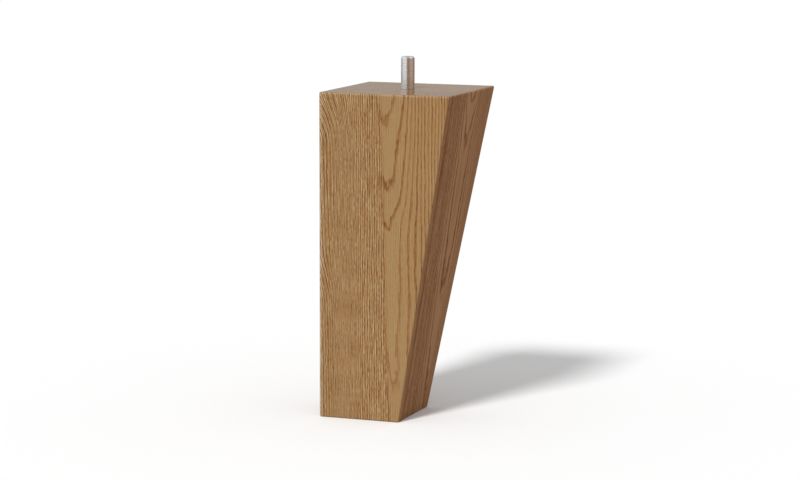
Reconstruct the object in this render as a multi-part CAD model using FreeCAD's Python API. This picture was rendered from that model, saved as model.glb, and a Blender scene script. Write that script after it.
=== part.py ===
# Square furniture leg for the corner of a sofa or cabinet.
# Two neighbouring sides stand upright and the other two taper down to a smaller square foot, so the
# upright corner stays flush with the corner of the furniture. The leg is one block of solid wood, with
# every edge sanded round, most of all the upright corner. A steel hanger bolt is driven into the middle
# of the mounting face: its wood screw end is buried in a bored seat, and its machine thread stands up
# to go into the furniture.
# The origin is on the floor, below the axis of the bolt. The upright sides face -X and -Y.
import FreeCAD, Part
import math
import os

# Driving dimensions of the leg, in millimetres
leg_height = 190.0  # floor to mounting face
top_side = 80.0  # side of the square mounting face
foot_side = 49.5  # side of the square foot
corner_radius = 2.0  # sanded round down the upright corner
edge_radius = 0.8  # sanded round on all other edges

# Driving dimensions of the hanger bolt, in millimetres
stud_diameter = 8.0  # machine thread, over its crests
stud_projection = 19.0  # height of the stud above the mounting face
stud_chamfer = 0.9  # lead-in at the end of the stud
neck_relief = 0.45  # step in from the stud's crests to the plain neck under it
neck_length = 4.0  # plain neck, from the mounting face down
screw_diameter = 7.6  # wood thread, over its crests
screw_length = 20.0  # straight length of the wood thread
tip_length = 8.0  # tapered end of the wood thread
tip_diameter = 1.2  # blunt point

# Driving dimensions of the bored seat, in millimetres and degrees
bolt_clearance = 0.05  # between the bolt and the wood, all round
tip_room = 1.0  # bore left below the point of the screw
drill_angle = 118.0  # included angle of the drill's point

# Heights and radii that follow from them
stud_radius = stud_diameter / 2
neck_radius = stud_radius - neck_relief
screw_radius = screw_diameter / 2
stud_top = leg_height + stud_projection
neck_bottom = leg_height - neck_length
screw_top = neck_bottom - abs(neck_radius - screw_radius)
tip_top = screw_top - screw_length
tip_bottom = tip_top - tip_length


def tapered_prism(place):
    """A prism with one upright side and one tapered side. place(across, along, up) gives its points in space."""
    upright = -top_side / 2
    widest = max(top_side, foot_side)
    outline = [
        place(upright, upright, 0),
        place(upright + foot_side, upright, 0),
        place(upright + top_side, upright, leg_height),
        place(upright, upright, leg_height),
    ]
    face = Part.Face(Part.makePolygon(outline + outline[:1]))
    return face.extrude(place(0, widest, 0))


def turned(profile):
    """A solid of revolution about the bolt's axis, from (radius, height) points."""
    points = [FreeCAD.Vector(radius, 0, height) for radius, height in profile]
    face = Part.Face(Part.makePolygon(points + points[:1]))
    return face.revolve(FreeCAD.Vector(0, 0, 0), FreeCAD.Vector(0, 0, 1), 360)


def is_corner(edge):
    """Whether an edge runs up the upright corner."""
    rises = edge.BoundBox.ZLength > leg_height / 2
    return rises and all(vertex.X < 0 and vertex.Y < 0 for vertex in edge.Vertexes)


def leg_blank():
    """The wooden block: one prism tapers towards -X, the other towards -Y, and the leg is what they share."""
    tapers_in_x = tapered_prism(lambda across, along, up: FreeCAD.Vector(across, along, up))
    tapers_in_y = tapered_prism(lambda across, along, up: FreeCAD.Vector(along, across, up))
    block = tapers_in_x.common(tapers_in_y).removeSplitter().Solids[0]
    block = block.makeFillet(corner_radius, [edge for edge in block.Edges if is_corner(edge)])
    return block.makeFillet(edge_radius, [edge for edge in block.Edges if not is_corner(edge)])


def bolt_seat():
    """What the bolt takes out of the wood: a drilled mouth as wide as the stud and the bore of the wood thread."""
    mouth_radius = stud_radius + bolt_clearance
    bore_radius = screw_radius + bolt_clearance
    bore_bottom = tip_bottom - tip_room
    drill_point = bore_radius / math.tan(math.radians(drill_angle / 2))
    mouth = turned([(0, screw_top), (mouth_radius, screw_top), (mouth_radius, leg_height), (0, leg_height)])
    bore = turned([
        (0, bore_bottom - drill_point),
        (bore_radius, bore_bottom),
        (bore_radius, leg_height),
        (0, leg_height),
    ])
    return mouth.fuse(bore)


def leg_body():
    """The finished wooden leg."""
    return leg_blank().cut(bolt_seat()).Solids[0]


def hanger_bolt():
    """The steel bolt, with both threads as plain turned lengths at the diameter of their crests."""
    return turned([
        (0, stud_top),
        (stud_radius - stud_chamfer, stud_top),
        (stud_radius, stud_top - stud_chamfer),
        (stud_radius, leg_height),
        (neck_radius, leg_height),
        (neck_radius, neck_bottom),
        (screw_radius, screw_top),
        (screw_radius, tip_top),
        (tip_diameter / 2, tip_bottom),
        (0, tip_bottom),
    ])


os.makedirs("parts", exist_ok=True)
leg_body().exportStep("parts/leg_body.step")
hanger_bolt().exportStep("parts/hanger_bolt.step")
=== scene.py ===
"""Dresses the furniture leg: satin lacquered oak, a threaded zinc-plated hanger bolt and a white studio."""

import functools
import math
from types import SimpleNamespace

import bmesh
import bpy
from bpy.props import FloatProperty, FloatVectorProperty, IntProperty, PointerProperty
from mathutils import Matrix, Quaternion, Vector


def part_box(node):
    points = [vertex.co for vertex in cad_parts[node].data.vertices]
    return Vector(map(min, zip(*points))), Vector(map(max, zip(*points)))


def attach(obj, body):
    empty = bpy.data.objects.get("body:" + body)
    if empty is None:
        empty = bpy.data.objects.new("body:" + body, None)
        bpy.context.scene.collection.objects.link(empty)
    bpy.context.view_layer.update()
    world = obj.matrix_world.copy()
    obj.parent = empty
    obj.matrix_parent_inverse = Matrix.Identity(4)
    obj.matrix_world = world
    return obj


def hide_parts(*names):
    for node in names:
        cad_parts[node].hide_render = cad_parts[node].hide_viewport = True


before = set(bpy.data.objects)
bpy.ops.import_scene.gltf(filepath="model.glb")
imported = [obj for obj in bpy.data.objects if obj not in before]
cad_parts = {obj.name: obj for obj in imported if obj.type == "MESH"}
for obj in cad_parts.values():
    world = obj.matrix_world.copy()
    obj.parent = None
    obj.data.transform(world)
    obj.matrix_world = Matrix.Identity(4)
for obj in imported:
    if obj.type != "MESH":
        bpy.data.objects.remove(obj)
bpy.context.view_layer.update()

bl_info = {
    "name": "Tapered oak furniture leg",
    "version": (1, 0, 0),
    "blender": (4, 5, 0),
    "location": "View3D > Sidebar > Oak leg",
    "description": "Finishes a tapered oak furniture leg and its hanger bolt in a white studio",
    "category": "Object",
}

# Width in pixels of the picture that the camera is fitted to
IMAGE_WIDTH = 800

# Heights in metres of the mounting face, the end of the stud and the point in the wood
LEG_LOW, LEG_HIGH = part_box("leg_body")
BOLT_LOW, BOLT_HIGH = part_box("hanger_bolt")
TOP_FACE = LEG_HIGH.z
STUD_END = BOLT_HIGH.z
POINT = BOLT_LOW.z

# The leg in millimetres, for the figure of the oak: its height, half of its top side and its front face
MM = 1000.0
HEIGHT = TOP_FACE * MM
HALF = -LEG_LOW.x * MM
FRONT = LEG_LOW.y * MM

# Cells of the grain's noises: millimetres across the grain and along it, and detail. The fibres and pores
# of real oak are finer than a pixel of the picture, so here they are drawn as coarse as they need to show
GRAIN_CELLS = {
    "bend": (30, 120, 1.0),
    "wave": (9, 26, 1.0),
    "scallop": (2.4, 6, 1.0),
    "edge": (1.6, 9, 2.0),
    "band": (2.6, 60, 1.0),
    "wander": (3.0, 11, 1.0),
    "fibre": (0.4, 12, 0.0),
    "streak": (0.4, 2.6, 0.0),
    "pore": (0.7, 4.0, 1.0),
    "cloud": (14, 60, 2.0),
}
# Most of a noise stays this close to zero
NOISE_REACH = 0.2
# Where the grain swerves on the front face: from and to, in millimetres below the top, and the share of it
SWERVES = ((-8.0, 30.0, 1.0), (88.0, 126.0, 0.6))
# Tips of the arches on the front face: millimetres below the top, and the number of the growth ring.
# The first and the last point only lead their curve in and out
ARCH_TIPS = ((0, 0.675), (13, 1.0), (53, 2.0), (74, 3.0), (162, 4.0), (240, 5.0))
SMOOTH = {"interpolation_type": "SMOOTHSTEP"}

# Shares of a pitch: the crest and the root of the machine thread, and the rows of points on each thread
CREST, ROOT = 0.8, 0.04
MACHINE_ROWS = (
    0, ROOT / 2, 0.5 - CREST / 2, 0.5 - CREST / 4, 0.5, 0.5 + CREST / 4, 0.5 + CREST / 2, 1 - ROOT / 2)
WOOD_ROWS = (0, 0.1, 0.2, 0.3, 0.36, 0.42, 0.46, 0.5, 0.54, 0.58, 0.64, 0.7, 0.8, 0.9)
SHARP_EDGE = math.radians(35)
MERGE_DISTANCE = 1e-6


def linear(colour):
    """A hex sRGB colour as linear red, green and blue."""
    parts = [int(colour[i : i + 2], 16) / 255 for i in (0, 2, 4)]
    return tuple(c / 12.92 if c <= 0.04045 else ((c + 0.055) / 1.055) ** 2.4 for c in parts)


def add(tree, kind, inputs=None, **settings):
    """Adds a node with its settings, and links or sets its inputs. Returns its first output that is on.

    Inputs go by name or number. On a map range node, 0 to 4 are the value, the two ends that it lies between
    and the two ends that it is mapped to. On a mix node, 0 is the share, and what it mixes are 2 and 3 for
    numbers, 4 and 5 for vectors, and 6 and 7 for colours.
    """
    node = tree.nodes.new(kind)
    for name, value in settings.items():
        setattr(node, name, value)
    for socket, value in (inputs or {}).items():
        if isinstance(value, bpy.types.NodeSocket):
            tree.links.new(value, node.inputs[socket])
        else:
            node.inputs[socket].default_value = value
    return next((out for out in node.outputs if out.enabled), None)


class StageSettings(bpy.types.PropertyGroup):
    """Floor, light and camera."""

    floor_size: FloatProperty(
        name="Floor size", description="Side of the square floor", default=60.0, unit="LENGTH")
    floor_color: FloatVectorProperty(
        name="Floor", description="Colour of the paper floor", subtype="COLOR", default=linear("F0F0F0"))
    bounce_color: FloatVectorProperty(
        name="Floor bounce", description="Share of the light that the floor sends back up", subtype="COLOR",
        default=linear("B8B8B8"))
    sky_color: FloatVectorProperty(
        name="Sky", description="Colour of the soft light from all round", subtype="COLOR",
        default=linear("FFFFFF"))
    sky_strength: FloatProperty(
        name="Sky strength", description="Level of the light from all round", default=0.595)
    dim_color: FloatVectorProperty(
        name="Dim side", description="What metal reflects of the room's dim side", subtype="COLOR",
        default=linear("A87F60"))
    wall_color: FloatVectorProperty(
        name="Wall", description="What metal reflects of a paler wall on the dim side", subtype="COLOR",
        default=linear("BCACA0"))
    rear_color: FloatVectorProperty(
        name="Rear wall", description="What the lacquer reflects of the room behind", subtype="COLOR",
        default=linear("BAB6B2"))
    back_color: FloatVectorProperty(
        name="Back wall", description="What the stud's left rim reflects", subtype="COLOR",
        default=linear("A5A19E"))
    card_radius: FloatProperty(
        name="Card radius", description="From the bolt to the cards", default=0.5, unit="LENGTH")
    card_height: FloatProperty(
        name="Card height", description="Height of the tall cards", default=0.6, unit="LENGTH")
    low_height: FloatProperty(
        name="Low card", description="Lower edge of the cards that end at the mounting face", default=0.1,
        unit="LENGTH")
    ceiling_size: FloatProperty(
        name="Ceiling card", description="Side of the card above the stud", default=0.06, unit="LENGTH")
    ceiling_height: FloatProperty(
        name="Ceiling height", description="Height of the card above the stud", default=0.3, unit="LENGTH")
    card_columns: IntProperty(name="Card columns", description="Flat faces of a bent card", default=12, min=1)

    key_strength: FloatProperty(name="Key strength", description="Level of the key light", default=2.4)
    key_azimuth: FloatProperty(
        name="Key azimuth", description="Where the key light comes from, turned from +X", subtype="ANGLE",
        default=math.radians(259.9))
    key_elevation: FloatProperty(
        name="Key elevation", description="Height of the key light above the floor", subtype="ANGLE",
        default=math.radians(46.9))
    key_angle: FloatProperty(
        name="Key size", description="Angle that the key light fills in the sky", subtype="ANGLE",
        default=math.radians(10.6))
    camera_azimuth: FloatProperty(
        name="Camera azimuth", description="How far the camera is turned from the front", subtype="ANGLE",
        default=math.radians(20.617))
    camera_pitch: FloatProperty(
        name="Camera pitch", description="How far the camera looks down", subtype="ANGLE",
        default=math.radians(8.118))
    camera_roll: FloatProperty(
        name="Camera roll", description="How far the camera is rolled to the left", subtype="ANGLE",
        default=math.radians(0.142))
    camera_distance: FloatProperty(
        name="Camera distance", description="From the bolt's axis", default=1.5621, unit="LENGTH")
    camera_height: FloatProperty(
        name="Camera height", description="Above the floor", default=0.32375, unit="LENGTH")
    camera_side: FloatProperty(
        name="Camera side step", description="To the right of the bolt's axis", default=-0.00433,
        unit="LENGTH")
    focal_pixels: FloatProperty(
        name="Focal length", description="Focal length in pixels of the picture", default=2684.4)


class OakSettings(bpy.types.PropertyGroup):
    """Colours and figure of the oak."""

    pore_color: FloatVectorProperty(
        name="Pores", description="Open pores, the darkest tone", subtype="COLOR", default=linear("6B4325"))
    early_color: FloatVectorProperty(
        name="Early wood", description="Porous wood at the start of a ring", subtype="COLOR",
        default=linear("8C623B"))
    ground_color: FloatVectorProperty(
        name="Ground", description="Middle tone of the wood", subtype="COLOR", default=linear("9B774E"))
    late_color: FloatVectorProperty(
        name="Late wood", description="Dense, smooth wood at the end of a ring", subtype="COLOR",
        default=linear("A7885F"))
    streak_color: FloatVectorProperty(
        name="Streaks", description="Pale fibres, the lightest tone", subtype="COLOR",
        default=linear("B69C75"))
    wide_ring: FloatProperty(
        name="Wide ring", description="Width of a growth ring left of the arches", default=0.0026,
        unit="LENGTH")
    narrow_ring: FloatProperty(
        name="Narrow ring", description="Width of a growth ring right of the arches", default=0.0013,
        unit="LENGTH")
    pith_depth: FloatProperty(
        name="Pith depth", description="From the front face to the pith of the log", default=0.0315,
        unit="LENGTH")
    rib_spacing: FloatProperty(
        name="Rib spacing", description="Between the fine ribs of the open wood", default=0.00145,
        unit="LENGTH")
    swerve: FloatProperty(
        name="Swerve", description="How far the grain swerves at the left edge", default=0.015,
        unit="LENGTH")


class BoltSettings(bpy.types.PropertyGroup):
    """Threads and finish of the hanger bolt."""

    pitch: FloatProperty(
        name="Machine pitch", description="Pitch of the machine thread", default=0.00125, unit="LENGTH")
    stud_radius: FloatProperty(
        name="Stud radius", description="Machine thread over its crests", default=BOLT_HIGH.x, unit="LENGTH")
    thread_depth: FloatProperty(
        name="Machine thread depth", description="From crest to root", default=0.00012, unit="LENGTH")
    lead_in: FloatProperty(
        name="Lead-in", description="Chamfer at the end of the stud", default=0.0009, unit="LENGTH")
    run_out: FloatProperty(
        name="Run-out", description="How far the machine thread runs on below the mounting face",
        default=0.0008, unit="LENGTH")
    neck_radius: FloatProperty(
        name="Neck radius", description="Between the threads", default=0.00355, unit="LENGTH")
    neck_length: FloatProperty(
        name="Neck length", description="From the mounting face to the wood thread", default=0.00425,
        unit="LENGTH")
    wood_pitch: FloatProperty(
        name="Wood pitch", description="Pitch of the wood thread", default=0.003, unit="LENGTH")
    wood_radius: FloatProperty(
        name="Wood thread radius", description="Wood thread over its ridge", default=0.0038, unit="LENGTH")
    wood_depth: FloatProperty(
        name="Wood thread depth", description="From ridge to core", default=0.0011, unit="LENGTH")
    ridge_width: FloatProperty(
        name="Ridge width", description="Wood thread's ridge at its foot", default=0.0012, unit="LENGTH")
    ridge_start: FloatProperty(
        name="Ridge start", description="Length over which the wood thread rises from the neck",
        default=0.002, unit="LENGTH")
    point_length: FloatProperty(
        name="Point length", description="Tapered end of the wood thread", default=0.008, unit="LENGTH")
    point_radius: FloatProperty(
        name="Point radius", description="Blunt end of the point", default=0.0006, unit="LENGTH")
    columns: IntProperty(name="Columns", description="Points around the bolt", default=48, min=12)
    zinc_color: FloatVectorProperty(
        name="Zinc", description="Bright zinc plating", subtype="COLOR", default=linear("E2E5E9"))
    dull_color: FloatVectorProperty(
        name="Dull zinc", description="Plating in its duller patches", subtype="COLOR",
        default=linear("D9DBDE"))


def grain_place(put, s, taper):
    """Where a point lies across the grain, into it and along it, in millimetres."""
    normal = put("ShaderNodeNewGeometry").node.outputs["Normal"]
    position = put("ShaderNodeTexCoord").node.outputs["Object"]
    mm = put("ShaderNodeVectorMath", {0: position, "Scale": MM}, operation="SCALE")
    x, y, z = put("ShaderNodeSeparateXYZ", {0: mm}).node.outputs
    depth = put("ShaderNodeMath", {0: HEIGHT, 1: z}, operation="SUBTRACT")

    # The front face has a figure of its own, which gives way to that of the sides just behind it
    own_end, sides_start = FRONT + 0.4, FRONT + 6.0
    behind = put("ShaderNodeMapRange", {0: y, 1: own_end, 2: sides_start}, **SMOOTH)

    # The grain follows the leg's taper at the right, and at the back in the last millimetres
    rear_start, rear_end = HALF - 10.0, HALF - 1.0
    lean = put("ShaderNodeMath", {0: behind, 1: taper}, operation="MULTIPLY")
    side = put("ShaderNodeMath", {0: depth, 1: lean, 2: x}, operation="MULTIPLY_ADD")
    leant = put("ShaderNodeMath", {0: depth, 1: taper, 2: y}, operation="MULTIPLY_ADD")
    rear = put("ShaderNodeMapRange", {0: leant, 1: rear_start, 2: rear_end}, **SMOOTH)
    back = put("ShaderNodeMix", {0: rear, 2: y, 3: leant})

    # By the left edge of the front face the grain swerves twice, as it does beside a knot
    swerve_start, left_face = -13.0, -HALF
    swerve = 0.0
    for start, end, share in SWERVES:
        turn = put("ShaderNodeMapRange", {0: depth, 1: start, 2: end}, **SMOOTH)
        swerve = put("ShaderNodeMath", {0: turn, 1: share, 2: swerve}, operation="MULTIPLY_ADD")
    swerve = put("ShaderNodeMix", {0: behind, 2: swerve, 3: 0.0})
    shift = {0: side, 1: swerve_start, 2: left_face, 3: 0.0, 4: -s.swerve * MM}
    shift = put("ShaderNodeMapRange", shift, **SMOOTH)
    side = put("ShaderNodeMath", {0: swerve, 1: shift, 2: side}, operation="MULTIPLY_ADD")
    return SimpleNamespace(
        normal=normal, mm=mm, x=x, y=y, z=z, depth=depth, behind=behind, side=side, back=back)


def grain_noises(put, at):
    """The noises of the grain, about zero and drawn out along it."""
    grain = put("ShaderNodeCombineXYZ", {0: at.side, 1: at.back, 2: at.z})
    noises = {}
    for name, (across, along, detail) in GRAIN_CELLS.items():
        cell = (1 / across, 1 / across, 1 / along)
        drawn = put("ShaderNodeVectorMath", {0: grain, 1: cell}, operation="MULTIPLY")
        level = put("ShaderNodeTexNoise", {"Vector": drawn, "Scale": 1.0, "Detail": detail})
        noises[name] = put("ShaderNodeMath", {0: level, 1: 0.5}, operation="SUBTRACT")
    return SimpleNamespace(**noises)


def early_ribs(put, s, at, noise):
    """Fine ribs of the open early wood, which wander from side to side and fade in places."""
    wander, faint, bold = 1.4, 0.7, 1.5
    ribs = put("ShaderNodeMath", {0: at.side, 1: at.back}, operation="ADD")
    ribs = put("ShaderNodeMath", {0: noise.wander, 1: wander, 2: ribs}, operation="MULTIPLY_ADD")
    ribs = put("ShaderNodeMath", {0: ribs, 1: math.tau / (s.rib_spacing * MM)}, operation="MULTIPLY")
    ribs = put("ShaderNodeMath", {0: ribs}, operation="SINE")
    broken = {0: noise.scallop, 1: -NOISE_REACH, 2: NOISE_REACH, 3: faint, 4: bold}
    return put("ShaderNodeMath", {0: ribs, 1: put("ShaderNodeMapRange", broken)}, operation="MULTIPLY")


def log_place(put, s, at, noise):
    """Where a point lies in the log, in millimetres sideways from its pith and in depth from it."""
    # On the front face the figure drifts and bends sideways on its way down, and its depth is always the same
    pith_side = 1.5
    front_drift, front_bend, side_bend = -0.03, 6.0, 1.0
    depth_share, depth_shift = 1.1, -2.2
    drift = put("ShaderNodeMapRange", {0: at.behind, 3: front_drift, 4: 0.0})
    side = put("ShaderNodeMath", {0: at.depth, 1: drift, 2: at.side}, operation="MULTIPLY_ADD")
    bend = put("ShaderNodeMapRange", {0: at.behind, 3: front_bend, 4: side_bend})
    side = put("ShaderNodeMath", {0: noise.bend, 1: bend, 2: side}, operation="MULTIPLY_ADD")
    side = put("ShaderNodeMath", {0: side, 1: pith_side}, operation="SUBTRACT")
    back = put("ShaderNodeMath", {0: at.back, 1: depth_share, 2: depth_shift}, operation="MULTIPLY_ADD")
    back = put("ShaderNodeMix", {0: at.behind, 2: -s.pith_depth * MM, 3: back})
    return SimpleNamespace(side=side, around=put("ShaderNodeCombineXYZ", {0: side, 1: back}))


def arches(put, at, log):
    """The curve of the arches along the leg, about zero, and how many rings it spans.

    The log widens upwards, so the rings come out of the front face as arches with their tips down.
    """
    longest, last_ring = ARCH_TIPS[-1]
    behind_shift = 52.0
    along = put("ShaderNodeMath", {0: at.behind, 1: behind_shift, 2: at.depth}, operation="MULTIPLY_ADD")
    along = put("ShaderNodeMath", {0: along, 1: longest}, operation="DIVIDE")
    curve = put("ShaderNodeFloatCurve", {1: along})
    mapping = curve.node.mapping
    points = mapping.curves[0].points
    for point, (depth, ring) in zip(points, (ARCH_TIPS[0], ARCH_TIPS[-1])):
        point.location = (depth / longest, ring / last_ring)
    for depth, ring in ARCH_TIPS[1:-1]:
        points.new(depth / longest, ring / last_ring)
    mapping.update()
    centred = put("ShaderNodeMath", {0: curve, 1: 0.5}, operation="SUBTRACT")

    # On both sides of the arches the lines stand upright
    middle, arch_half, upright_start, upright_span = 1.0, 9.0, 21.0, 0.8
    off = put("ShaderNodeMath", {0: log.side, 1: middle}, operation="SUBTRACT")
    off = put("ShaderNodeMath", {0: off}, operation="ABSOLUTE")
    fade = {0: off, 1: arch_half, 2: upright_start, 3: last_ring, 4: upright_span}
    span = put("ShaderNodeMapRange", fade, **SMOOTH)
    return centred, put("ShaderNodeMix", {0: at.behind, 2: span, 3: last_ring})


def growth_rings(put, s, at, noise, log):
    """Growth rings, counted outwards from the pith, and how many of them lie in a millimetre."""
    wide_end, narrow_start = -9.0, 1.0
    front_count, side_count = 2.5, 3.1
    wave, scallop = 0.5, 0.35
    few, many = 1 / (s.wide_ring * MM), 1 / (s.narrow_ring * MM)
    packed = {0: log.side, 1: wide_end, 2: narrow_start, 3: few, 4: many}
    packed = put("ShaderNodeMapRange", packed, **SMOOTH)
    radius = put("ShaderNodeVectorMath", {0: log.around}, operation="LENGTH").node.outputs["Value"]
    outside = put("ShaderNodeMath", {0: radius, 1: s.pith_depth * MM}, operation="SUBTRACT")
    count = put("ShaderNodeMapRange", {0: at.behind, 3: front_count, 4: side_count})
    rings = put("ShaderNodeMath", {0: outside, 1: packed, 2: count}, operation="MULTIPLY_ADD")
    for bend, reach in (arches(put, at, log), (noise.wave, wave), (noise.scallop, scallop)):
        rings = put("ShaderNodeMath", {0: bend, 1: reach, 2: rings}, operation="MULTIPLY_ADD")
    return rings, packed


def growth_lines(put, at, log, rings, packed):
    """The dark porous line at the start of each ring, bolder in some years than in others."""
    faint_year, bold_year = 0.6, 1.3
    phase = put("ShaderNodeMath", {0: rings}, operation="FRACT")
    year = put("ShaderNodeMath", {0: rings}, operation="FLOOR")
    year = put("ShaderNodeTexWhiteNoise", {"W": year}, noise_dimensions="1D")
    year = put("ShaderNodeMapRange", {0: year, 3: faint_year, 4: bold_year})

    # How fast rings follow one another on this face: where they lie far apart, their lines are broader too
    rise_along, broadening = (0.0, 0.0, -0.04), 0.45
    outward = put("ShaderNodeVectorMath", {0: log.around}, operation="NORMALIZE")
    slope = put("ShaderNodeVectorMath", {0: outward, "Scale": packed}, operation="SCALE")
    slope = put("ShaderNodeVectorMath", {0: slope, 1: rise_along}, operation="ADD")
    sunk = put("ShaderNodeVectorMath", {0: slope, 1: at.normal}, operation="PROJECT")
    slope = put("ShaderNodeVectorMath", {0: slope, 1: sunk}, operation="SUBTRACT")
    slope = put("ShaderNodeVectorMath", {0: slope}, operation="LENGTH").node.outputs["Value"]
    spread = put("ShaderNodeMath", {0: slope, 1: broadening}, operation="POWER")

    # A line starts sharply and fades slowly
    full_end, line_end, line_start = 0.05, 0.65, 0.3
    past = put("ShaderNodeMath", {0: phase, 1: spread}, operation="DIVIDE")
    before = put("ShaderNodeMath", {0: 1.0, 1: phase}, operation="SUBTRACT")
    before = put("ShaderNodeMath", {0: before, 1: spread}, operation="DIVIDE")
    fade = put("ShaderNodeMapRange", {0: past, 1: full_end, 2: line_end, 3: 1.0, 4: 0.0}, **SMOOTH)
    start = put("ShaderNodeMapRange", {0: before, 1: 0.0, 2: line_start, 3: 1.0, 4: 0.0}, **SMOOTH)
    line = put("ShaderNodeMath", {0: fade, 1: year}, operation="MULTIPLY")
    return put("ShaderNodeMath", {0: line, 1: start}, operation="MAXIMUM")


def wood_zones(put, at, noise, log):
    """Where the early wood lies open, and how plainly the growth lines are drawn."""
    # To the left of the arches the early wood lies open, so pores and streaks cover it up to a ragged edge
    raggedness, dense_end, open_start = 3.0, -2.4, -4.0
    fore_end, fore_start = -8.0, -14.0
    ragged = put("ShaderNodeMath", {0: noise.edge, 1: raggedness, 2: log.side}, operation="MULTIPLY_ADD")
    opened = put("ShaderNodeMapRange", {0: ragged, 1: dense_end, 2: open_start}, **SMOOTH)
    fore = put("ShaderNodeMapRange", {0: at.y, 1: fore_end, 2: fore_start}, **SMOOTH)
    fore = put("ShaderNodeMath", {0: at.behind, 1: fore}, operation="MULTIPLY")
    opened = put("ShaderNodeMath", {0: opened, 1: fore}, operation="MAXIMUM")
    calm_sides = 0.6
    calm = put("ShaderNodeMapRange", {0: at.behind, 3: 1.0, 4: calm_sides})
    rough = put("ShaderNodeMath", {0: opened, 1: calm}, operation="MULTIPLY")

    # In the open wood the lines are bold on a strip by the left edge and faint elsewhere. Behind the front
    # face they grow bolder to the right
    strip_end, strip_start = -26.0, -36.0
    open_lines, strip_lines = 0.17, 1.5
    bold_end, left_lines, right_lines = 32.0, 0.85, 1.35
    strip = put("ShaderNodeMapRange", {0: at.x, 1: strip_end, 2: strip_start}, **SMOOTH)
    drawn = put("ShaderNodeMapRange", {0: strip, 3: open_lines, 4: strip_lines})
    drawn = put("ShaderNodeMix", {0: opened, 2: 1.0, 3: drawn})
    inside = put("ShaderNodeMapRange", {0: log.side, 1: 0.0, 2: bold_end, 3: left_lines, 4: right_lines})
    drawn = put("ShaderNodeMix", {0: at.behind, 2: drawn, 3: inside})

    # The growth lines are drawn the faintest at the upright corner. The same mask carries the painted
    # highlight of that corner in oak_colour
    corner_end, corner_start, corner_lines = FRONT - HALF + 3.4, FRONT - HALF + 1.2, 0.2
    corner = put("ShaderNodeMath", {0: at.x, 1: at.y}, operation="ADD")
    corner = put("ShaderNodeMapRange", {0: corner, 1: corner_end, 2: corner_start}, **SMOOTH)
    drawn = put("ShaderNodeMapRange", {0: corner, 3: drawn, 4: corner_lines})

    # Behind the rounded edges of the front face
    skin_start, skin_end = FRONT + 0.05, FRONT + 0.6
    inner = put("ShaderNodeMapRange", {0: at.y, 1: skin_start, 2: skin_end})
    return SimpleNamespace(
        ragged=ragged, opened=opened, rough=rough, strip=strip, drawn=drawn, corner=corner, inner=inner)


def edge_of_open_wood(put, zone):
    """A darker line along the ragged edge of the open early wood."""
    place, core, end, darkest = -3.4, 0.3, 2.2, -0.1
    off = put("ShaderNodeMath", {0: zone.ragged, 1: place}, operation="SUBTRACT")
    off = put("ShaderNodeMath", {0: off}, operation="ABSOLUTE")
    return put("ShaderNodeMapRange", {0: off, 1: core, 2: end, 3: darkest, 4: 0.0}, **SMOOTH)


def right_face_lines(put, at, noise, log, zone):
    """Two dark lines that run down the right face close to its front edge, and where they show."""
    sway, middle, half_gap = 1.5, FRONT + 3.7, 2.9
    core, end, darkest = 0.8, 2.2, -0.24
    right_start, right_end = 28.0, 36.0
    off = put("ShaderNodeMath", {0: noise.wave, 1: sway, 2: at.y}, operation="MULTIPLY_ADD")
    for place in (middle, half_gap):
        off = put("ShaderNodeMath", {0: off, 1: place}, operation="SUBTRACT")
        off = put("ShaderNodeMath", {0: off}, operation="ABSOLUTE")
    lines = put("ShaderNodeMapRange", {0: off, 1: core, 2: end, 3: darkest, 4: 0.0}, **SMOOTH)
    right = put("ShaderNodeMapRange", {0: log.side, 1: right_start, 2: right_end})
    return lines, put("ShaderNodeMath", {0: right, 1: zone.inner}, operation="MULTIPLY")


def wood_tone(put, at, noise, log, zone, ribs, line):
    """Tone of the wood, from 0 for open pores to 1 for the palest streaks."""
    dense_tone, open_tone, strip_tone = 0.66, 0.56, 0.64
    tone = put("ShaderNodeMapRange", {0: zone.strip, 3: open_tone, 4: strip_tone})
    tone = put("ShaderNodeMapRange", {0: zone.opened, 3: dense_tone, 4: tone})

    # Fibres, short streaks and ribs, strongest in the open wood
    streak_share, rib_share, fine_dense, fine_open = 0.7, 0.2, 0.25, 1.2
    fine = put("ShaderNodeMath", {0: noise.streak, 1: streak_share, 2: noise.fibre}, operation="MULTIPLY_ADD")
    fine = put("ShaderNodeMath", {0: ribs, 1: rib_share, 2: fine}, operation="MULTIPLY_ADD")
    fine_reach = put("ShaderNodeMapRange", {0: zone.rough, 3: fine_dense, 4: fine_open})

    # Long bands, mostly behind the front face
    front_bands, side_bands, clouds = 0.08, 0.55, 0.12
    band_reach = put("ShaderNodeMapRange", {0: at.behind, 3: front_bands, 4: side_bands})

    # The growth lines, beaded by their pores, and single pores all over
    bead_gap, bead, pore_start = -0.26, -0.5, 0.02
    pores_dense, pores_open = -0.06, -0.16
    beads = {0: noise.pore, 1: -NOISE_REACH, 2: NOISE_REACH, 3: bead_gap, 4: bead}
    beads = put("ShaderNodeMath", {0: put("ShaderNodeMapRange", beads), 1: line}, operation="MULTIPLY")
    pores = put("ShaderNodeMapRange", {0: noise.pore, 1: pore_start, 2: NOISE_REACH})
    pore_reach = put("ShaderNodeMapRange", {0: zone.rough, 3: pores_dense, 4: pores_open})

    marks = (
        (fine, fine_reach),
        (noise.band, band_reach),
        (noise.cloud, clouds),
        (beads, zone.drawn),
        (pores, pore_reach),
        (edge_of_open_wood(put, zone), 1.0),
        right_face_lines(put, at, noise, log, zone),
    )
    for mark, reach in marks:
        tone = put("ShaderNodeMath", {0: mark, 1: reach, 2: tone}, operation="MULTIPLY_ADD")
    return tone


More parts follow.
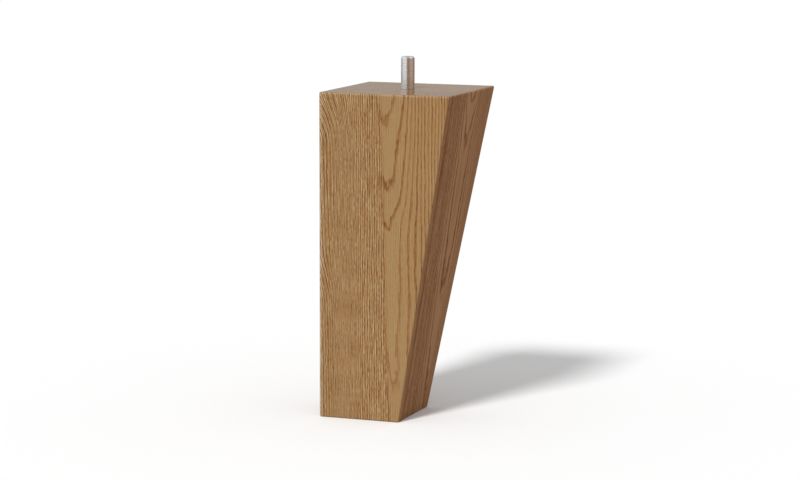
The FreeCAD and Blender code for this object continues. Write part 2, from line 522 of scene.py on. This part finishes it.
def oak_colour(put, s, at, log, zone, tone, upward):
    """Colour of the oak by its tone, tinted more red behind the front face (partly wood tone, partly painted
    warm shade of the right face), with a painted highlight on the rounded edges, and darker where end grain
    soaks up lacquer.
    """
    colour = put("ShaderNodeValToRGB", {0: tone})
    ramp = colour.node.color_ramp
    ramp.elements[0].color = (*s.pore_color, 1)
    ramp.elements[1].color = (*s.streak_color, 1)
    for level, value in ((0.28, s.early_color), (0.55, s.ground_color), (0.78, s.late_color)):
        ramp.elements.new(level).color = (*value, 1)

    # Behind its front face the wood is tinted more red, most of all on the right: partly a wood tone, and
    # partly painted shade for the warm shade of the right face, which the key light never reaches
    red_end, left_red = 36.0, 0.35
    redness_and_warm_shade = put("ShaderNodeMapRange", {0: log.side, 1: -HALF, 2: red_end, 3: left_red, 4: 1.0})
    redness_and_warm_shade = put("ShaderNodeMath", {0: zone.inner, 1: redness_and_warm_shade}, operation="MULTIPLY")

    # End grain soaks up more of the lacquer, so it is darker
    grain_start, grain_end = 0.7, 0.99
    soak = put("ShaderNodeMapRange", {0: upward, 1: grain_start, 2: grain_end})

    # Painted highlight: the upright corner and the edges of the top are painted lighter and bluer, for the
    # sheen of the lacquer on the rounded edges
    rim_start, rim_end, rim_sheen = HEIGHT + HALF - 1.7, HEIGHT + HALF - 0.6, 0.75
    spread = put("ShaderNodeVectorMath", {0: at.mm}, operation="ABSOLUTE")
    spread_x, spread_y, _ = put("ShaderNodeSeparateXYZ", {0: spread}).node.outputs
    rim = put("ShaderNodeMath", {0: spread_x, 1: spread_y}, operation="MAXIMUM")
    rim = put("ShaderNodeMath", {0: rim, 1: at.z}, operation="ADD")
    rim = put("ShaderNodeMapRange", {0: rim, 1: rim_start, 2: rim_end, 4: rim_sheen}, **SMOOTH)
    rim = put("ShaderNodeMapRange", {0: soak, 3: rim, 4: 0.0})
    painted_edge_sheen = put("ShaderNodeMath", {0: zone.corner, 1: rim}, operation="MAXIMUM")

    # The tints in turn: more red (wood tone and painted warm shade), the painted highlight of the edges, and
    # the darker end grain soaked with lacquer
    plain, red_and_shade_tint, sheen_tint, soaked = (1, 1, 1), (1.13, 0.99, 1.05), (1.14, 1.32, 1.7), (0.71, 0.79, 0.72)
    for share, tint in ((redness_and_warm_shade, red_and_shade_tint), (painted_edge_sheen, sheen_tint), (soak, soaked)):
        filtered = put("ShaderNodeMix", {0: share, 4: plain, 5: tint}, data_type="VECTOR")
        colour = put("ShaderNodeVectorMath", {0: colour, 1: filtered}, operation="MULTIPLY")
    return colour


def lacquer_film(put, noise, flat):
    """Roughness of the lacquer: satin on the flat sides, smoother on end grain and on the sanded edges."""
    wave_share, film_reach = 0.3, 0.25
    smooth, less_smooth, satin = 0.1, 0.2, 0.85
    edge_end, flat_start = 0.9, 0.98
    film = put("ShaderNodeMath", {0: noise.wave, 1: wave_share, 2: noise.pore}, operation="MULTIPLY_ADD")
    film = put("ShaderNodeMapRange", {0: film, 1: -film_reach, 2: film_reach, 3: smooth, 4: less_smooth})
    return put("ShaderNodeMapRange", {0: flat, 1: edge_end, 2: flat_start, 3: film, 4: satin})


def oak_material(s, taper):
    """Oak, sanded and lacquered satin: ring-porous figure under a clear film with a soft sheen."""
    material = bpy.data.materials.new("satin lacquered oak")
    material.use_nodes = True
    tree = material.node_tree
    shader = tree.nodes["Principled BSDF"]
    put = functools.partial(add, tree)

    at = grain_place(put, s, taper)
    noise = grain_noises(put, at)
    log = log_place(put, s, at, noise)
    rings, packed = growth_rings(put, s, at, noise, log)
    line = growth_lines(put, at, log, rings, packed)
    zone = wood_zones(put, at, noise, log)
    tone = wood_tone(put, at, noise, log, zone, early_ribs(put, s, at, noise), line)
    facing = put("ShaderNodeVectorMath", {0: at.normal}, operation="ABSOLUTE")
    facing_x, facing_y, upward = put("ShaderNodeSeparateXYZ", {0: facing}).node.outputs
    flat = put("ShaderNodeMath", {0: facing_x, 1: facing_y}, operation="MAXIMUM")

    tree.links.new(oak_colour(put, s, at, log, zone, tone, upward), shader.inputs["Base Color"])
    tree.links.new(lacquer_film(put, noise, flat), shader.inputs["Roughness"])
    # Open pores lie a few hundredths of a millimetre deep
    relief = put("ShaderNodeBump", {"Strength": 0.5, "Distance": 0.04 / MM, "Height": tone})
    tree.links.new(relief, shader.inputs["Normal"])
    shader.inputs["IOR"].default_value = 1.5
    shader.inputs["Specular IOR Level"].default_value = 0.12
    return material


def zinc_material(s):
    """Steel, bright zinc plated: a pale grey metal with soft reflections, a little duller in patches."""
    material = bpy.data.materials.new("zinc plated steel")
    material.use_nodes = True
    tree = material.node_tree
    shader = tree.nodes["Principled BSDF"]
    put = functools.partial(add, tree)
    position = put("ShaderNodeTexCoord").node.outputs["Object"]
    mm = put("ShaderNodeVectorMath", {0: position, "Scale": MM}, operation="SCALE")
    # Patches of duller plating, and its spangle, which is drawn coarser than the real one so that it shows
    patch_size, spangle_size = 2.0, 0.3
    bright_end, dull_start = 0.3, 0.7
    patch = put("ShaderNodeTexNoise", {"Vector": mm, "Scale": 1 / patch_size, "Detail": 2.0})
    spangle = put("ShaderNodeTexNoise", {"Vector": mm, "Scale": 1 / spangle_size, "Detail": 1.0})
    dull = put("ShaderNodeMapRange", {0: patch, 1: bright_end, 2: dull_start})
    colours = {0: dull, 6: (*s.zinc_color, 1), 7: (*s.dull_color, 1)}
    tree.links.new(put("ShaderNodeMix", colours, data_type="RGBA"), shader.inputs["Base Color"])
    bright_rough, dull_rough, spangle_rough = 0.24, 0.28, 0.06
    rough = put("ShaderNodeMapRange", {0: dull, 3: bright_rough, 4: dull_rough})
    rough = put("ShaderNodeMath", {0: spangle, 1: spangle_rough, 2: rough}, operation="MULTIPLY_ADD")
    tree.links.new(rough, shader.inputs["Roughness"])
    shader.inputs["Metallic"].default_value = 1.0
    return material


def seen(tree):
    """1 where a ray comes from the camera, a reflection or glass, and 0 where it only carries light."""
    rays = add(tree, "ShaderNodeLightPath").node.outputs
    shown = rays["Is Camera Ray"]
    for kind in ("Is Glossy Ray", "Is Transmission Ray"):
        shown = add(tree, "ShaderNodeMath", {0: shown, 1: rays[kind]}, operation="MAXIMUM")
    return shown


def paper_material(s):
    """White paper: matt and even. It sends up less light than it shows, to keep the wood's tone."""
    material = bpy.data.materials.new("white paper")
    material.use_nodes = True
    tree = material.node_tree
    shader = tree.nodes["Principled BSDF"]
    colours = {0: seen(tree), 6: (*s.bounce_color, 1), 7: (*s.floor_color, 1)}
    tree.links.new(add(tree, "ShaderNodeMix", colours, data_type="RGBA"), shader.inputs["Base Color"])
    shader.inputs["Roughness"].default_value = 0.9
    shader.inputs["Specular IOR Level"].default_value = 0.0
    return material


def wall_material(colour):
    """A painted wall of the room: an even colour, at the level at which metal and lacquer mirror it."""
    material = bpy.data.materials.new("painted wall")
    material.use_nodes = True
    shader = material.node_tree.nodes["Principled BSDF"]
    shader.inputs["Base Color"].default_value = (0, 0, 0, 1)
    shader.inputs["Specular IOR Level"].default_value = 0.0
    shader.inputs["Emission Color"].default_value = (*colour, 1)
    shader.inputs["Emission Strength"].default_value = 1.0
    return material


def ease(value, low, high):
    """Share of the way from low to high, kept between 0 and 1."""
    return min(1.0, max(0.0, (value - low) / (high - low)))


def stud_radius(s, height, turned):
    """Radius of the stud at a height. Turned is the height along the thread.

    The thread is cut far less deep than a real one of its pitch, because at two pixels to a pitch the stud in
    the picture is almost smooth.
    """
    crest, root = CREST * s.pitch, ROOT * s.pitch
    flank = (s.pitch - crest - root) / 2
    off = abs((turned / s.pitch) % 1 - 0.5) * s.pitch
    radius = s.stud_radius - s.thread_depth * ease(off, crest / 2, crest / 2 + flank)
    radius = min(radius, s.stud_radius - max(0.0, height - (STUD_END - s.lead_in)))
    return s.neck_radius + (radius - s.neck_radius) * ease(height, TOP_FACE - s.run_out, TOP_FACE)


def screw_radius(s, height, turned):
    """Radius of the wood thread at a height, from neck to point. Turned is the height along the thread."""
    neck_end = TOP_FACE - s.neck_length
    crest = s.ridge_width / 4
    off = abs((turned / s.wood_pitch) % 1 - 0.5) * s.wood_pitch
    radius = s.wood_radius - s.wood_depth * ease(off, crest / 2, s.ridge_width / 2)
    radius = s.neck_radius + (radius - s.neck_radius) * ease(height, neck_end, neck_end - s.ridge_start)
    return radius + (s.point_radius - radius) * ease(height, POINT + s.point_length, POINT)


def wind(mesh, radius_at, low, high, pitch, rows, columns):
    """Winds a thread's surface round the Z axis: each column starts higher by its share of a pitch.

    The rows reach past both ends by a turn or more, and what stands over is pressed onto the ends.
    """
    turns = math.ceil((high - low) / pitch) + 2
    heights = [low + (turn - 1 + row) * pitch for turn in range(turns + 1) for row in rows]
    grid = []
    for column in range(columns):
        angle = math.tau * column / columns
        lift = pitch * column / columns
        points = []
        for height in heights:
            z = min(high, max(low, height + lift))
            radius = radius_at(z, z - low - lift)
            points.append(mesh.verts.new((radius * math.cos(angle), radius * math.sin(angle), z)))
        grid.append(points)
    for column in range(columns):
        here, there = grid[column], grid[(column + 1) % columns]
        shift = len(rows) if column == columns - 1 else 0
        for row in range(len(heights) - 1 - shift):
            mesh.faces.new((here[row], there[row + shift], there[row + 1 + shift], here[row + 1]))


def bolt_mesh(s):
    """Both threads, the neck between them and the closed ends, as one skin."""
    run_out, neck_end = TOP_FACE - s.run_out, TOP_FACE - s.neck_length
    mesh = bmesh.new()
    wind(mesh, functools.partial(stud_radius, s), run_out, STUD_END, s.pitch, MACHINE_ROWS, s.columns)
    wind(mesh, functools.partial(screw_radius, s), POINT, neck_end, s.wood_pitch, WOOD_ROWS, s.columns)
    bmesh.ops.remove_doubles(mesh, verts=mesh.verts, dist=MERGE_DISTANCE)
    neck = []
    for edge in mesh.edges:
        height = edge.verts[0].co.z
        if edge.is_boundary and min(abs(height - run_out), abs(height - neck_end)) < MERGE_DISTANCE:
            neck.append(edge)
    bmesh.ops.bridge_loops(mesh, edges=neck)
    bmesh.ops.holes_fill(mesh, edges=[edge for edge in mesh.edges if edge.is_boundary])
    bmesh.ops.recalc_face_normals(mesh, faces=mesh.faces)
    data = bpy.data.meshes.new("threaded_bolt")
    mesh.to_mesh(data)
    mesh.free()
    data.shade_smooth()
    data.set_sharp_from_angle(angle=SHARP_EDGE)
    return data


class OAKLEG_OT_body(bpy.types.Operator):
    """Gives the wooden leg its oak"""

    bl_idname = "oakleg.body"
    bl_label = "Finish the leg"

    def execute(self, context):
        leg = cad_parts["leg_body"]
        # How far the right side comes in for each millimetre down, from its slope
        right_side = max(leg.data.polygons, key=lambda face: face.area * (face.normal.x > 0.5))
        taper = -right_side.normal.z / right_side.normal.x
        leg.data.materials.clear()
        leg.data.materials.append(oak_material(context.scene.oakleg_oak, taper))
        return {"FINISHED"}


class OAKLEG_OT_bolt(bpy.types.Operator):
    """Makes the hanger bolt with both of its threads"""

    bl_idname = "oakleg.bolt"
    bl_label = "Make the hanger bolt"

    def execute(self, context):
        s = context.scene.oakleg_bolt
        bolt = bpy.data.objects.new("threaded_bolt", bolt_mesh(s))
        bolt.data.materials.append(zinc_material(s))
        context.scene.collection.objects.link(bolt)
        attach(bolt, "root")
        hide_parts("hanger_bolt")
        return {"FINISHED"}


class OAKLEG_OT_stage(bpy.types.Operator):
    """Makes the floor, the light and the camera"""

    bl_idname = "oakleg.stage"
    bl_label = "Set the stage"

    def execute(self, context):
        s = context.scene.oakleg_stage
        self.make_floor(s)
        self.make_light(s)
        self.make_cards(s)
        self.make_camera(s)
        context.scene.view_settings.view_transform = "Standard"
        return {"FINISHED"}

    def backdrop(self, name, points, faces, material):
        """Adds a floor or a card to the stage."""
        mesh = bpy.data.meshes.new(name)
        mesh.from_pydata(points, [], faces)
        mesh.materials.append(material)
        backdrop = bpy.data.objects.new(name, mesh)
        bpy.context.scene.collection.objects.link(backdrop)
        return backdrop

    def square(self, side, height):
        """Corners of a level square about the bolt's axis."""
        half = side / 2
        return [(-half, -half, height), (half, -half, height), (half, half, height), (-half, half, height)]

    def make_floor(self, s):
        self.backdrop("floor", self.square(s.floor_size, 0.0), [(0, 1, 2, 3)], paper_material(s))

    def make_light(self, s):
        """An even sky that shows as white, and a key light that isn't mirrored."""
        world = bpy.data.worlds.new("sky")
        bpy.context.scene.world = world
        world.use_nodes = True
        tree = world.node_tree
        level = add(tree, "ShaderNodeMapRange", {0: seen(tree), 3: s.sky_strength, 4: 1.0})
        background = tree.nodes["Background"]
        background.inputs["Color"].default_value = (*s.sky_color, 1)
        tree.links.new(level, background.inputs["Strength"])
        lamp = bpy.data.lights.new("key", "SUN")
        lamp.energy = s.key_strength
        lamp.angle = s.key_angle
        key = bpy.data.objects.new("key", lamp)
        key.visible_glossy = False
        towards = Vector((
            math.cos(s.key_elevation) * math.cos(s.key_azimuth),
            math.cos(s.key_elevation) * math.sin(s.key_azimuth),
            math.sin(s.key_elevation),
        ))
        key.rotation_euler = towards.to_track_quat("Z", "Y").to_euler()
        bpy.context.scene.collection.objects.link(key)

    def make_cards(self, s):
        """Bent cards round the leg and one above it, which only reflections show: the walls of the room."""
        # Name, colour, from and to in degrees round the bolt from +X, and lower and upper edge
        walls = (
            ("front_card", s.dim_color, -88, -38, 0.0, s.card_height),
            ("side_card", s.wall_color, -38, 22, 0.0, s.card_height),
            ("far_card", s.dim_color, 22, 90, 0.0, s.card_height),
            ("back_card", s.back_color, 112, 190, s.low_height, TOP_FACE),
            ("left_card", s.rear_color, 190, 203, s.low_height, TOP_FACE),
            ("rear_card", s.rear_color, 70, 150, TOP_FACE, s.card_height),
        )
        corners = range(0, 2 * s.card_columns, 2)
        faces = [(corner, corner + 2, corner + 3, corner + 1) for corner in corners]
        cards = []
        for name, colour, start, end, bottom, top in walls:
            points = []
            for column in range(s.card_columns + 1):
                turn = math.radians(start + (end - start) * column / s.card_columns)
                x, y = s.card_radius * math.cos(turn), s.card_radius * math.sin(turn)
                points += [(x, y, bottom), (x, y, top)]
            cards.append(self.backdrop(name, points, faces, wall_material(colour)))
        ceiling = self.square(s.ceiling_size, s.ceiling_height)
        cards.append(self.backdrop("ceiling_card", ceiling, [(0, 1, 2, 3)], wall_material(s.wall_color)))
        for card in cards:
            card.visible_camera = False
            card.visible_diffuse = False
            card.visible_shadow = False

    def make_camera(self, s):
        """A camera at the photograph's place, with its focal length."""
        turn = s.camera_azimuth
        ahead = Vector((-math.sin(turn), math.cos(turn), 0))
        right = Vector((math.cos(turn), math.sin(turn), 0))
        up = Vector((0, 0, 1))
        data = bpy.data.cameras.new("camera")
        data.sensor_fit = "HORIZONTAL"
        data.lens = s.focal_pixels / IMAGE_WIDTH * data.sensor_width
        data.clip_end = 2 * s.floor_size
        camera = bpy.data.objects.new("camera", data)
        camera.location = -s.camera_distance * ahead + s.camera_side * right + s.camera_height * up
        look = math.cos(s.camera_pitch) * ahead - math.sin(s.camera_pitch) * up
        level = look.to_track_quat("-Z", "Y")
        camera.rotation_euler = (level @ Quaternion((0, 0, 1), s.camera_roll)).to_euler()
        bpy.context.scene.collection.objects.link(camera)
        bpy.context.scene.camera = camera


class OAKLEG_PT_panel(bpy.types.Panel):
    """Settings and steps of the oak leg"""

    bl_idname = "OAKLEG_PT_panel"
    bl_label = "Oak leg"
    bl_space_type = "VIEW_3D"
    bl_region_type = "UI"
    bl_category = "Oak leg"

    def draw(self, context):
        for name, operator in STEPS:
            box = self.layout.box()
            settings = getattr(context.scene, name)
            for key in settings.bl_rna.properties.keys():
                if key not in ("rna_type", "name"):
                    box.prop(settings, key)
            box.operator(operator)


STEPS = (("oakleg_oak", "oakleg.body"), ("oakleg_bolt", "oakleg.bolt"), ("oakleg_stage", "oakleg.stage"))
GROUPS = {"oakleg_oak": OakSettings, "oakleg_bolt": BoltSettings, "oakleg_stage": StageSettings}
CLASSES = (*GROUPS.values(), OAKLEG_OT_body, OAKLEG_OT_bolt, OAKLEG_OT_stage, OAKLEG_PT_panel)


def register():
    for cls in CLASSES:
        bpy.utils.register_class(cls)
    for name, group in GROUPS.items():
        setattr(bpy.types.Scene, name, PointerProperty(type=group))


def unregister():
    for name in GROUPS:
        delattr(bpy.types.Scene, name)
    for cls in reversed(CLASSES):
        bpy.utils.unregister_class(cls)


def main():
    register()
    bpy.ops.oakleg.body()
    bpy.ops.oakleg.bolt()
    bpy.ops.oakleg.stage()


if __name__ == "__main__":
    main()
